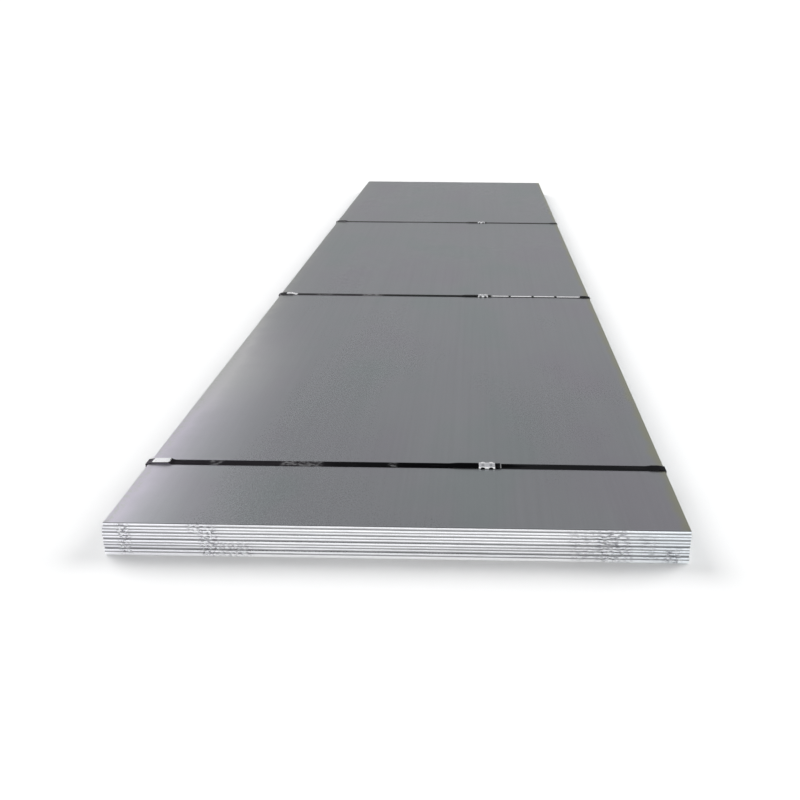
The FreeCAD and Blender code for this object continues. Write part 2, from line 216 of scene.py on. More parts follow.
# ---------------------------------------------------------------- materials
def mill_scale():
    m = Mat("mill_scale")
    big = m.noise(m.scaled(1.6, 0.8, 1), 1.0, 3, 0.5)
    hue = m.noise(m.scaled(2.6, 1.5, 1, (7, 3, 0)), 1.0, 3, 0.55)
    streak = m.noise(m.scaled(60, 0.7, 1), 1.0, 5, 0.6)
    fine = m.noise(m.coord, 420, 6, 0.65)
    grain = m.noise(m.coord, 1900, 3, 0.6)
    base = m.ramp(big, [(0.30, (0.548, 0.558, 0.590)), (0.52, (0.566, 0.576, 0.608)), (0.72, (0.584, 0.593, 0.624))])
    tint = m.ramp(hue, [(0.34, (0.90, 1.0, 0.95)), (0.46, (1, 1, 1)), (0.53, (1, 1, 1)), (0.66, (1.0, 0.925, 0.99))])
    base = m.mix(0.5, base, tint, "MULTIPLY")
    s = m.ramp(streak, [(0.25, grey(0.93)), (0.5, grey(1.0)), (0.75, grey(1.06))])
    base = m.mix(0.55, base, s, "MULTIPLY")
    g = m.ramp(fine, [(0.25, grey(0.90)), (0.5, grey(1.0)), (0.78, grey(1.09))])
    base = m.mix(0.7, base, g, "MULTIPLY")
    # olive film along the right edge
    edge_wob = m.noise(m.scaled(8, 9, 1, (3, 0, 0)), 1.0, 4, 0.6)
    wob = m.math("MULTIPLY_ADD", edge_wob, 0.05, -0.025)
    dist_r = m.math("SUBTRACT", X_RIGHT, m.math("ADD", m.x, wob))
    right = m.remap(dist_r, 0.004, 0.034, 1, 0)
    base = m.mix(m.math("MULTIPLY", right, 0.75), base, (0.62, 0.62, 0.46))
    # pale band that fades inwards from the left edge, strongest towards the front end: partly a dry, chalky film on
    # the scale, partly a painted highlight from the light on the left
    dist_l = m.math("SUBTRACT", m.math("ADD", m.x, wob), X_LEFT)
    along = m.remap(m.y, -0.2, -2.3, 0.16, 1.0)
    cloud = m.remap(m.noise(m.scaled(4, 2.2, 1, (5, 9, 0)), 1.0, 4, 0.55), 0.3, 0.7, 0.8, 1.1)
    bloom_and_highlight = m.math("MULTIPLY", m.math("POWER", 2.718, m.math("MULTIPLY", dist_l, -19.0)), 1.75)
    bloom_and_highlight = m.math("MULTIPLY", m.math("MULTIPLY", bloom_and_highlight, along), cloud)
    # a broad pale cloud of it before the front strap's far side
    wide = m.math("MULTIPLY", m.remap(dist_l, 0.05, 0.36, 1, 0), m.band(m.y, -2.35, -1.50, 0.40))
    bloom_and_highlight = m.math("ADD", bloom_and_highlight, m.math("MULTIPLY", wide, 0.42), clamp=True)
    chalk = m.mix(m.remap(m.y, -2.5, -1.9, 0, 1), (0.93, 0.885, 0.99), (0.93, 0.92, 0.93))
    chalk = m.mix(m.remap(m.y, -1.5, -0.4, 0, 1), chalk, (0.93, 0.915, 0.86))
    base = m.mix(m.math("MULTIPLY", bloom_and_highlight, BLOOM_AND_HIGHLIGHT), base, chalk)
    left = m.remap(dist_l, 0.004, 0.040, 1, 0)
    chip = m.remap(m.noise(m.scaled(90, 60, 1), 1.0, 4, 0.7), 0.46, 0.62, 0, 1)
    base = m.mix(m.math("MULTIPLY", left, m.math("MULTIPLY_ADD", chip, 0.5, 0.15)), base, (0.80, 0.83, 0.78))
    # scattered specks of loose scale and light rust
    speck = m.remap(m.voronoi(m.scaled(1, 1, 1), 70), 0.02, 0.06, 1, 0)
    where = m.remap(m.noise(m.coord, 2.3, 3, 0.6), 0.52, 0.66, 0, 1)
    base = m.mix(m.math("MULTIPLY", m.math("MULTIPLY", speck, where), 0.4), base, (0.22, 0.19, 0.17))
    rust = m.remap(m.noise(m.scaled(5, 2.5, 5, (11, 4, 0)), 1.0, 6, 0.72), 0.66, 0.80, 0, 0.30)
    base = m.mix(rust, base, (0.42, 0.34, 0.27))
    # long shallow scratches
    sc = m.noise(m.scaled(160, 2.2, 1, (0, 5, 0)), 1.0, 2, 0.4, 0.6)
    scratch = m.band(sc, 0.665, 0.672, 0.004)
    base = m.mix(m.math("MULTIPLY", scratch, 0.3), base, (0.66, 0.66, 0.67))
    # the rolled-over lip at the top plate's ends is painted dark, partly for burnt scale and partly as painted shade
    # along the top edge; on the plates below, the lips are rubbed bright
    end_y = m.math("ABSOLUTE", m.y)
    upper = m.remap(m.z, TOP - 0.0030, TOP - 0.0020, 0, 1)
    lip = m.math("MULTIPLY", m.remap(end_y, L2 - 0.0040, L2 - 0.0022, 0, 1), upper)
    base = m.mix(m.math("MULTIPLY", lip, 0.8), base, (0.10, 0.10, 0.11))
    rub = m.math("MULTIPLY", m.remap(end_y, L2 - 0.012, L2 - 0.006, 0, 1), m.math("SUBTRACT", 1.0, upper))
    base = m.mix(m.math("MULTIPLY", rub, 0.8), base, (0.93, 0.93, 0.95))
    # a near-black band painted on the steel along the seals' sides: painted contact shadow round the seals
    across = None
    for y0 in STRAP_Y:
        d = m.math("ABSOLUTE", m.math("SUBTRACT", m.y, y0))
        across = d if across is None else m.math("MINIMUM", across, d)
    seal_shadow = m.math("MULTIPLY", m.band(across, 0.008, 0.0205, 0.0018), m.band(m.x, SEAL_X - 0.0215, SEAL_X + 0.0225, 0.003))
    seal_shadow = m.math("MULTIPLY", seal_shadow, m.remap(m.z, TOP - 0.004, TOP - 0.003, 0, 1))
    base = m.mix(m.math("MULTIPLY", seal_shadow, 0.9), base, (0.035, 0.035, 0.038))
    rough = m.math("ADD", m.remap(big, 0.3, 0.7, 0.27, 0.31), m.math("MULTIPLY_ADD", fine, 0.08, -0.04))
    rough = m.math("ADD", rough, m.math("MULTIPLY", bloom_and_highlight, 0.20))
    n = m.bump(m.noise(m.coord, 240, 5, 0.6), 0.19, 0.0006)
    n = m.bump(grain, 0.18, 0.0002, n)
    m.set(color=base, metallic=0.9, rough=rough, normal=n, tint=(0.66, 0.66, 0.66))
    return m.m


BLOOM_AND_HIGHLIGHT = 1.0


def sheared_edge():
    """A cut end, plate by plate: torn dull metal in the lower part of the thickness, smooth bright shear land in the
    upper part, and a dark rolled-over lip on top. The darkest grey at the very bottom of each plate is painted shade
    where it sits on the plate below."""
    m = Mat("sheared_edge")
    lvl = m.math("FRACT", m.math("DIVIDE", m.math("SUBTRACT", m.z, BASE_Z - 1e-5), GAUGE))
    row = m.math("FLOOR", m.math("DIVIDE", m.math("SUBTRACT", m.z, BASE_Z - 1e-5), GAUGE))
    run = m.math("ADD", m.x, m.y)
    shift = m.math("MULTIPLY", row, 3.7)
    run = m.math("ADD", run, shift)
    wobble = m.noise(m.vec(run, shift, 0.0), 9, 4, 0.6)
    lvl2 = m.math("ADD", lvl, m.math("MULTIPLY_ADD", wobble, 0.24, -0.12))
    # the darkest stops at the very bottom of each plate are painted shade where it sits on the plate below
    zone = m.ramp(lvl2, [(0.0, grey(0.26)), (0.10, grey(0.30)), (0.34, grey(0.40)), (0.43, grey(0.56)),
                         (0.50, grey(0.97)), (0.88, grey(1.0)), (0.95, grey(0.84)), (1.0, grey(0.52))])
    # how cleanly each plate was cut changes slowly along it
    clean = m.noise(m.vec(run, m.math("MULTIPLY", row, 5.3), 2.0), 2.2, 3, 0.5)
    zone = m.mix(0.8, zone, m.ramp(clean, [(0.3, grey(0.78)), (0.5, grey(0.97)), (0.7, grey(1.10))]), "MULTIPLY")
    marks = m.noise(m.vec(run, m.math("MULTIPLY", m.z, 0.10), shift), 700, 5, 0.6)
    mk = m.ramp(marks, [(0.25, grey(0.74)), (0.5, grey(0.98)), (0.75, grey(1.12))])
    col = m.mix(0.5, zone, mk, "MULTIPLY")
    col = m.mix(1.0, col, (0.965, 0.972, 1.0), "MULTIPLY")
    # painted light: the bottom plate's cut end is painted lighter towards the floor, against the dim light there
    bottom_plate_light = m.remap(m.z, BASE_Z + 0.0085, BASE_Z + 0.0060, 0, 1)
    col = m.mix(m.math("MULTIPLY", bottom_plate_light, 0.85), col, (0.99, 0.99, 1.0))
    # a cold lilac cast towards the left end, a warmer one at the far right
    col = m.mix(m.remap(m.x, -0.30, -0.72, 0, 0.35), col, (0.94, 0.93, 1.0), "MULTIPLY")
    col = m.mix(m.remap(m.x, 0.45, 0.74, 0, 0.9), col, (0.93, 0.98, 1.0), "MULTIPLY")
    patch = m.noise(m.vec(run, m.math("MULTIPLY", m.z, 6.0), 0.0), 7, 5, 0.62)
    col = m.mix(m.remap(patch, 0.54, 0.74, 0, 0.30), col, (0.40, 0.40, 0.43))
    # grease and torn burrs on the front ends, where the pack was handled: they run down and outwards
    front = m.remap(m.y, -L2 + 0.05, -L2 + 0.02, 0, 1)
    down = m.math("SUBTRACT", TOP, m.z)
    long_x = m.math("MULTIPLY", m.x, m.remap(m.x, 0.0, 0.2, 0.62, 0.34))
    fleck = m.noise(m.vec(long_x, m.math("MULTIPLY", m.z, 1.5), 3.0), 190, 4, 0.7)
    fleck2 = m.noise(m.vec(long_x, m.math("MULTIPLY", m.z, 1.3), 8.0), 150, 4, 0.7)
    dark = m.remap(fleck, 0.49, 0.55, 0, 1)
    light = m.remap(fleck2, 0.50, 0.58, 0, 1)
    for cx, half, lean, z0, z1, k in SMUDGES:
        along = m.math("SUBTRACT", m.x, m.math("MULTIPLY", down, lean))
        near = m.math("MULTIPLY", m.band(along, cx - half, cx + half, 0.009), m.band(m.z, z0, z1, 0.012))
        near = m.math("MULTIPLY", near, front)
        col = m.mix(m.math("MULTIPLY", m.math("MULTIPLY", near, dark), k), col, (0.10, 0.10, 0.13), "MULTIPLY")
        col = m.mix(m.math("MULTIPLY", m.math("MULTIPLY", near, light), k * (0.85 if cx < 0 else 0.42)), col, (0.97, 0.97, 1.0))
    rough = m.math("MULTIPLY_ADD", marks, 0.25, 0.30)
    n = m.bump(marks, 0.35, 0.0004)
    n = m.bump(m.noise(m.coord, 900, 4, 0.6), 0.35, 0.0003, n)
    m.set(color=col, metallic=0.35, rough=rough, normal=n)
    return m.m


# place from the middle, half width, lean (metres along for each metre down), lowest, highest, strength
SMUDGES = (
    (-0.700, 0.016, 0.02, 0.008, 0.098, 0.85),
    (-0.498, 0.036, 0.00, 0.070, 0.100, 0.70),
    (-0.480, 0.024, 0.00, 0.000, 0.080, 0.85),
    (-0.420, 0.040, 0.10, 0.000, 0.044, 0.60),
    (0.500, 0.060, 0.15, 0.004, 0.096, 0.42),
    (0.556, 0.040, 0.15, 0.004, 0.096, 0.72),
    (0.640, 0.022, 0.20, 0.010, 0.080, 0.40),
    (0.712, 0.022, 0.00, 0.000, 0.044, 0.85),
)


def black_strap():
    """Black lacquered strapping. The lacquer has faded in places. The bright patches on the bends at the left edge
    and along the middle strap's right half are painted reflections, and the tail's cut end shows bright steel."""
    m = Mat("black_strap")
    wear = m.noise(m.scaled(9, 60, 9, (2, 1, 0)), 1.0, 5, 0.65)
    fine = m.noise(m.coord, 350, 4, 0.6)
    col = m.ramp(fine, [(0.3, (0.020, 0.020, 0.022)), (0.7, (0.038, 0.038, 0.042))])
    col = m.mix(m.remap(wear, 0.56, 0.72, 0, 0.4), col, (0.085, 0.078, 0.092))
    tone = m.math("ADD", m.x, m.math("MULTIPLY_ADD", wear, 0.3, -0.15))
    col = m.mix(m.remap(tone, -0.15, -0.32, 0, 0.8), col, (0.088, 0.078, 0.092))
    col = m.mix(m.math("MULTIPLY", m.remap(tone, -0.10, 0.02, 0, 0.7), m.remap(tone, 0.26, 0.34, 1, 0.4)), col, (0.008, 0.008, 0.010))
    # the front strap is greyer beyond its seal
    col = m.mix(m.math("MULTIPLY", m.remap(tone, 0.26, 0.36, 0, 0.55), m.remap(m.y, -2.0, -2.2, 0, 1)), col, (0.085, 0.085, 0.092))
    scuff = m.noise(m.scaled(700, 30, 30), 1.0, 4, 0.6)
    col = m.mix(m.remap(scuff, 0.72, 0.80, 0, 0.4), col, (0.16, 0.16, 0.17))
    edge_n = m.noise(m.scaled(60, 160, 60), 1.0, 4, 0.6)
    jag = m.math("MULTIPLY_ADD", edge_n, 0.012, -0.006)
    xj = m.math("ADD", m.x, jag)
    upper = m.remap(m.z, TOP - 0.004, TOP - 0.001, 0, 1)
    # faded stretches
    faded = 0.0
    for y0, x0, x1, k in FADED:
        f = m.math("MULTIPLY", m.band(m.y, y0 - 0.018, y0 + 0.018, 0.001), m.band(xj, x0, x1, 0.008))
        blot = m.remap(m.noise(m.scaled(55, 90, 20, (4, 4, 0)), 1.0, 4, 0.6), 0.40, 0.62, 0, 1)
        f = m.math("MULTIPLY", m.math("MULTIPLY", f, blot), k)
        col = m.mix(f, col, (0.15, 0.15, 0.155))
        faded = m.math("MAXIMUM", faded, m.math("MULTIPLY", f, 0.8))
    # painted reflections on the bends at the left edge and along the middle strap's right half, and the bright steel
    # of the tail's cut end
    glints_and_cut_end = None
    for y0, a0, a1, x0, x1, soft in PAINTED_GLINTS:
        f = m.math("MULTIPLY", m.band(m.y, y0 + a0, y0 + a1, 0.0015), m.band(xj, x0, x1, soft))
        glints_and_cut_end = f if glints_and_cut_end is None else m.math("MAXIMUM", glints_and_cut_end, f)
    tail = SEAL_X + 23.5 * MM + 18 * MM
    cut = m.math("MULTIPLY", m.band(m.x, tail - 0.0026, tail + 0.002, 0.0005), m.remap(m.z, TOP + 0.0018, TOP + 0.0022, 0, 1))
    glints_and_cut_end = m.math("MAXIMUM", glints_and_cut_end, m.math("MULTIPLY", cut, 0.55))
    glints_and_cut_end = m.math("MULTIPLY", glints_and_cut_end, upper)
    patchiness = m.remap(m.noise(m.scaled(120, 200, 60, (1, 6, 0)), 1.0, 4, 0.65), 0.30, 0.42, 0.25, 1)
    glints_and_cut_end = m.math("MULTIPLY", glints_and_cut_end, patchiness)
    col = m.mix(glints_and_cut_end, col, (0.88, 0.88, 0.90))
    rough = m.math("ADD", m.remap(wear, 0.45, 0.72, 0.12, 0.30), m.math("MULTIPLY_ADD", fine, 0.06, -0.03))
    rough = m.math("ADD", rough, m.math("MULTIPLY", glints_and_cut_end, 0.22))
    n = m.bump(m.noise(m.scaled(60, 60, 60), 1.0, 3, 0.5), 0.10, 0.0006)
    n = m.bump(fine, 0.10, 0.0002, n)
    dull = m.math("MAXIMUM", m.math("MULTIPLY", glints_and_cut_end, 0.65), faded)
    m.set(color=col, metallic=m.math("SUBTRACT", 1.0, dull), rough=rough, normal=n, tint=(0.5, 0.5, 0.5))
    return m.m


FADED = (
    (STRAP_Y[0], -0.573, -0.538, 0.8), (STRAP_Y[0], -0.363, -0.243, 0.9), (STRAP_Y[0], -0.048, -0.028, 1.0),
    (STRAP_Y[1], -0.568, -0.498, 0.6), (STRAP_Y[1], -0.348, -0.253, 1.0), (STRAP_Y[2], -0.298, -0.098, 0.5),
)
# bright patches painted on the straps as painted reflections
PAINTED_GLINTS = (
    (STRAP_Y[0], -0.013, 0.017, -0.739, -0.690, 0.002), (STRAP_Y[1], -0.010, 0.017, -0.720, -0.668, 0.002),
    (STRAP_Y[1], -0.005, 0.013, 0.280, 0.363, 0.003), (STRAP_Y[1], -0.006, 0.013, 0.373, 0.474, 0.003),
    (STRAP_Y[1], -0.005, 0.013, 0.485, 0.585, 0.003), (STRAP_Y[1], -0.006, 0.013, 0.596, 0.708, 0.003),
)


def cut_steel():
    m = Mat("cut_steel")
    f = m.noise(m.coord, 1500, 4, 0.6)
    col = m.ramp(f, [(0.3, (0.42, 0.42, 0.43)), (0.7, (0.66, 0.66, 0.67))])
    m.set(color=col, metallic=1.0, rough=m.remap(f, 0.3, 0.7, 0.25, 0.42), normal=m.bump(f, 0.3, 0.0002))
    return m.m


def zinc():
    m = Mat("zinc_seal")
    spangle = m.voronoi(m.coord, 420, out="Color")
    sp = m.t.nodes.new("ShaderNodeSeparateColor")
    m.link(spangle, sp.inputs[0])
    f = m.noise(m.coord, 600, 5, 0.62)
    big = m.noise(m.coord, 60, 3, 0.6)
    col = m.ramp(sp.outputs[0], [(0.0, (0.80, 0.81, 0.83)), (1.0, (0.92, 0.93, 0.94))])
    col = m.mix(0.6, col, m.ramp(f, [(0.3, grey(0.90)), (0.7, grey(1.06))]), "MULTIPLY")
    col = m.mix(m.remap(big, 0.52, 0.75, 0, 0.3), col, (0.50, 0.50, 0.51))
    across = None
    for y0 in STRAP_Y:
        d = m.math("ABSOLUTE", m.math("SUBTRACT", m.y, y0))
        across = d if across is None else m.math("MINIMUM", across, d)
    along = m.math("ABSOLUTE", m.math("SUBTRACT", m.math("ABSOLUTE", m.math("SUBTRACT", m.x, SEAL_X)), 0.0118))
    # painted light: the seal's sides are painted near white as a painted highlight, and its crown is painted darker
    # as painted shade
    painted_side_light = m.remap(m.math("MULTIPLY_ADD", f, 0.004, across), 0.0135, 0.0150, 0, 1)
    col = m.mix(painted_side_light, m.mix(1.0, col, (0.66, 0.66, 0.68), "MULTIPLY"), (0.97, 0.97, 0.98))
    # painted shade: dark spots at the crimp roots behind the arches; the same mask sets the dents in the bump
    dx, dy = m.math("DIVIDE", along, 0.0050), m.math("DIVIDE", m.math("ABSOLUTE", m.math("SUBTRACT", across, 0.0040)), 0.0050)
    dimple_shade = m.remap(m.math("ADD", m.math("MULTIPLY", dx, dx), m.math("MULTIPLY", dy, dy)), 1.4, 0.3, 0, 0.55)
    col = m.mix(dimple_shade, col, (0.13, 0.13, 0.14))
    # the side towards the pack's far end is painted darker, as painted shade
    for y0 in STRAP_Y:
        col = m.mix(m.math("MULTIPLY", m.band(m.y, y0 + 0.0115, y0 + 0.0220, 0.0015), 0.55), col, (0.50, 0.50, 0.51))
    # painted contact shadow: the bottom millimetre of the seal's skirt is painted near black
    col = m.mix(m.remap(m.z, TOP + 0.0004, TOP + 0.0012, 0.85, 0), col, (0.05, 0.05, 0.055))
    rough = m.math("ADD", m.math("MULTIPLY_ADD", sp.outputs[1], 0.10, 0.30), m.math("MULTIPLY_ADD", f, 0.12, -0.06))
    n = m.bump(m.math("MULTIPLY", dimple_shade, -1.0), 0.6, 0.0012)
    n = m.bump(f, 0.25, 0.0003, n)
    m.set(color=col, metallic=m.math("MULTIPLY_ADD", painted_side_light, -0.25, 0.45), rough=rough, normal=n)
    return m.m


MILL, EDGE, STRAP, CUT, ZINC = mill_scale(), sheared_edge(), black_strap(), cut_steel(), zinc()

# ------------------------------------------------------------------- plates
def perimeter(a, b, nx, ny, corner=0.0008):
    """Points round a plate's outline with outward normals: (x, y, nx, ny, side). Lengths in metres."""
    pts = []
    xs = np.linspace(-a + corner, a - corner, nx + 1)
    ys = np.linspace(-b + corner, b - corner, ny + 1)
    arcs = [math.radians(d) for d in (30, 60)]
    run = 0.0
    def arc(cx, cy, start):
        for t in arcs:
            ang = start + t
            pts.append((cx, cy, math.cos(ang), math.sin(ang), 4))
    for x in xs: pts.append((x, -b, 0.0, -1.0, 0))
    arc(a - corner, -b + corner, -math.pi / 2)
    for y in ys: pts.append((a, y, 1.0, 0.0, 1))
    arc(a - corner, b - corner, 0)
    for x in xs[::-1]: pts.append((x, b, 0.0, 1.0, 2))
    arc(-a + corner, b - corner, math.pi / 2)
    for y in ys[::-1]: pts.append((-a, y, -1.0, 0.0, 3))
    arc(-a + corner, -b + corner, math.pi)
    out = []
    for x, y, u, v, side in pts:
        if side == 4:
            x, y = x + corner * u, y + corner * v
        out.append((x, y, u, v, side))
    return out


def cap_grid(verts, faces, mats, smooth, start, up, nx, ny):
    """Fills a plate's face with quads that meet its ring of points one to one.
    The ring is: front side nx+1 points, corner 2, right side ny+1, corner 2, and so on."""
    a = start
    front = [a + k for k in range(nx + 1)]; a += nx + 1
    c1 = [a, a + 1]; a += 2
    right = [a + k for k in range(ny + 1)]; a += ny + 1
    c2 = [a, a + 1]; a += 2
    back = [a + k for k in range(nx + 1)][::-1]; a += nx + 1
    c3 = [a, a + 1]; a += 2
    left = [a + k for k in range(ny + 1)][::-1]; a += ny + 1
    c4 = [a, a + 1]
    z = verts[start][2]
    # inner grid: columns under the front points 1..nx-1, rows beside the side points 1..ny-1
    xs = [verts[front[i]][0] for i in range(nx + 1)]
    ys = [verts[right[j]][1] for j in range(ny + 1)]
    grid = {}
    for j in range(1, ny):
        for i in range(1, nx):
            grid[i, j] = len(verts)
            verts.append((xs[i], ys[j], z))
    def at(i, j):
        return grid[i, j]
    def add(f):
        faces.append(tuple(f) if up else tuple(f)[::-1]); mats.append(0); smooth.append(False)
    for j in range(1, ny - 1):
        for i in range(1, nx - 1):
            add((at(i, j), at(i + 1, j), at(i + 1, j + 1), at(i, j + 1)))
    for i in range(1, nx - 1):
        add((front[i], front[i + 1], at(i + 1, 1), at(i, 1)))
        add((at(i, ny - 1), at(i + 1, ny - 1), back[i + 1], back[i]))
    for j in range(1, ny - 1):
        add((at(nx - 1, j), right[j], right[j + 1], at(nx - 1, j + 1)))
        add((left[j], at(1, j), at(1, j + 1), left[j + 1]))
    add((front[nx - 1], front[nx], c1[0], c1[1], right[0], right[1], at(nx - 1, 1)))
    add((right[ny - 1], right[ny], c2[0], c2[1], back[nx], back[nx - 1], at(nx - 1, ny - 1)))
    add((back[1], back[0], c3[0], c3[1], left[ny], left[ny - 1], at(1, ny - 1)))
    add((left[1], left[0], c4[0], c4[1], front[0], front[1], at(1, 1)))


def make_plate(name, seed, top_grid=False, low_grid=False):
    lo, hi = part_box(name)
    cx, cy = (lo.x + hi.x) / 2, (lo.y + hi.y) / 2
    z0, t = lo.z, hi.z - lo.z
    nx, ny = (100, 240)
    ring = perimeter((hi.x - lo.x) / 2, (hi.y - lo.y) / 2, nx, ny)
    n = len(ring)
    P = np.array([(r[0], r[1]) for r in ring])
    N = np.array([(r[2], r[3]) for r in ring])
    side = np.array([r[4] for r in ring])
    seg = np.hypot(*(np.roll(P, -1, 0) - P).T)
    run = np.concatenate([[0], np.cumsum(seg)[:-1]])
    slow = smooth_noise(run, seed, 0.35)
    mid = smooth_noise(run, seed + 50, 0.06)
    quick = smooth_noise(run, seed + 90, 0.014)
    roll = 1.0 + 0.30 * slow + 0.12 * mid          # how far the shear rolled the upper edge
    mm = 0.001
    rows = [  # (inset mm, height share or mm)
        (1.30 + 0 * roll, 0.0 * roll),
        (0.55 + 0.15 * slow, 0.0 * roll),
        (0.22 + 0.06 * quick, 0.28 + 0.10 * slow),
        (0.10 + 0.05 * mid, 0.75 + 0.10 * mid),
        (0.26 + 0.09 * quick, 2.0 + 0.2 * mid),
        (0.30 + 0.08 * mid + 0.06 * quick, 3.4 + 0.3 * slow),
        (0.14 + 0.05 * quick, 4.2 + 0.5 * slow + 0.2 * mid),
        (0.08 + 0.02 * mid, 4.9 + 0.5 * slow + 0.2 * mid),
        (0.10 + 0.02 * mid, 8.2 - 0.35 * roll),
        (0.20 * roll, 9.5 - 0.62 * roll),
        (0.48 * roll, 9.5 - 0.27 * roll),
        (0.92 * roll, 9.5 - 0.08 * roll),
        (1.70 + 0 * roll, 9.5 + 0 * roll),
    ]
    verts = []
    for inset, z in rows:
        q = P - N * (inset * mm)[:, None]
        h = np.minimum(z * mm, t)
        for k in range(n):
            verts.append((cx + q[k, 0], cy + q[k, 1], z0 + h[k]))
    # corners: N differs per point, so insets keep their distance there too
    faces, mats, smooth = [], [], []
    R = len(rows)
    for j in range(R - 1):
        for k in range(n):
            k2 = (k + 1) % n
            faces.append((j * n + k, j * n + k2, (j + 1) * n + k2, (j + 1) * n + k))
            mats.append(1 if j < R - 3 else 0)
            smooth.append(True)
    for start, up, fine in ((0, False, low_grid), ((R - 1) * n, True, top_grid)):
        if fine:
            cap_grid(verts, faces, mats, smooth, start, up, nx, ny)
        else:
            f = tuple(start + k for k in range(n))
            faces.append(f if up else f[::-1]); mats.append(0); smooth.append(False)
    o = new_object(name + "_steel", verts, faces, [MILL, EDGE], mats, smooth)
    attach(o, "root")
    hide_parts(name)
    return o


for k in range(1, 11):
    make_plate("plate_%02d" % k, 11 * k, top_grid=k == 10, low_grid=k == 1)

# ------------------------------------------------------------------- straps

def rounded_route(points, radii, step=0.02):
    """A 2-D polyline with arcs in its corners, as dense points."""
    out = [np.array(points[0], float)]
    for k in range(1, len(points) - 1):
        a, p, b = (np.array(points[j], float) for j in (k - 1, k, k + 1))
        u, v = (a - p), (b - p)
        lu, lv = np.linalg.norm(u), np.linalg.norm(v)
        u, v = u / lu, v / lv
        turn = math.pi - math.acos(max(-1, min(1, float(u @ v))))
        r = radii[k]
        tl = min(r * math.tan(turn / 2), 0.48 * lu, 0.48 * lv)
        r = tl / math.tan(turn / 2)
        s, e = p + u * tl, p + v * tl
        bis = (u + v) / np.linalg.norm(u + v)
        c = p + bis * (r / math.cos(turn / 2))
        steps = max(3, int(math.degrees(turn) / 9))
        a0 = math.atan2(*(s - c)[::-1]); a1 = math.atan2(*(e - c)[::-1])
        d = (a1 - a0 + math.pi) % (2 * math.pi) - math.pi
        for i in range(steps + 1):
            t = a0 + d * i / steps
            out.append(c + r * np.array([math.cos(t), math.sin(t)]))
    out.append(np.array(points[-1], float))
    dense = [out[0]]
    for q in out[1:]:
        gap = np.linalg.norm(q - dense[-1])
        if gap < 1e-7:
            continue
        parts = max(1, int(gap / step))
        start = dense[-1]
        for i in range(1, parts + 1):
            dense.append(start + (q - start) * i / parts)
    return np.array(dense)


def strap_points(top, half_t, half_w):
    """The middle line of a strap, tail first, in X and Z, with each corner's radius."""
    g, side = STRAP_T, half_w - half_t
    inner = top + 1.0 * MM
    outer = inner + g + 0.1 * MM
    h = half_t
    right, left = SEAL_X + 23.5 * MM, SEAL_X - 23.5 * MM
    end = left - 60 * MM
    pts = [
        (right + 18 * MM, outer + h, 0),
        (end - 2 * MM, outer + h, 15), (end - 26 * MM, top + h, 15),
        (X_LEFT + 71 * MM, top + h, 15), (X_LEFT + 58 * MM, top + 5 * MM + h, 12),
        (X_LEFT + 13 * MM, top + 4 * MM + h, 12), (-side, top + h, 1.5),
        (-side, BASE_Z - h, 1.5), (side, BASE_Z - h, 1.5), (side, top + h, 1.5),
        (X_RIGHT - 14 * MM, top + 2.5 * MM + h, 12), (X_RIGHT - 36 * MM, top + 2.5 * MM + h, 12),
        (X_RIGHT - 52 * MM, top + h, 15),
        (right + 14 * MM, top + h, 15), (right + 4 * MM, inner + h, 15),
        (end, inner + h, 0)]
    return [(x, z) for x, z, r in pts], [r * MM for x, z, r in pts]


def make_strap(name, seed):
    lo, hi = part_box(name)
    y0 = (lo.y + hi.y) / 2
    pts, radii = strap_points(TOP, STRAP_T / 2, hi.x)
    line = rounded_route(pts, radii)
    n = len(line)
    d = np.gradient(line, axis=0)
    d /= np.linalg.norm(d, axis=1)[:, None]
    out = np.stack([d[:, 1], -d[:, 0]], 1)     # outer side: right of the way it runs
    s = np.concatenate([[0], np.cumsum(np.hypot(*np.diff(line, axis=0).T))])
    wander = smooth_noise(s, seed, 0.8) * 1.2 * MM + smooth_noise(s, seed + 9, 0.22) * 0.25 * MM
    w, t, r = STRAP_W / 2, STRAP_T / 2, 0.22 * MM
    sec = []                                   # (across, outward)
    for across in np.linspace(-w + r, w - r, 9):
        sec.append((across, t))
    sec += [(w - r * 0.3, t - r * 0.3), (w, t - r), (w, -t + r), (w - r * 0.3, -t + r * 0.3)]
    for across in np.linspace(w - r, -w + r, 9):
        sec.append((across, -t))
    sec += [(-w + r * 0.3, -t + r * 0.3), (-w, -t + r), (-w, t - r), (-w + r * 0.3, t - r * 0.3)]
    m = len(sec)
    verts, faces, mats, smooth = [], [], [], []
    for k in range(n):
        for across, up in sec:
            verts.append((line[k, 0] + out[k, 0] * up, y0 + wander[k] + across, line[k, 1] + out[k, 1] * up))
    for k in range(n - 1):
        for j in range(m):
            j2 = (j + 1) % m
            faces.append((k * m + j, (k + 1) * m + j, (k + 1) * m + j2, k * m + j2))
            mats.append(0); smooth.append(True)
    faces.append(tuple(range(m))); mats.append(1); smooth.append(False)
    faces.append(tuple((n - 1) * m + j for j in range(m))[::-1]); mats.append(1); smooth.append(False)
    o = new_object(name + "_steel", verts, faces, [STRAP, CUT], mats, smooth)
    bm = bmesh.new(); bm.from_mesh(o.data)
    bmesh.ops.recalc_face_normals(bm, faces=bm.faces)
    bm.to_mesh(o.data); bm.free()
    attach(o, "root")
    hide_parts(name)
    return o


for k, end in enumerate(("front", "middle", "rear")):
    make_strap("strap_" + end, 301 + 17 * k)

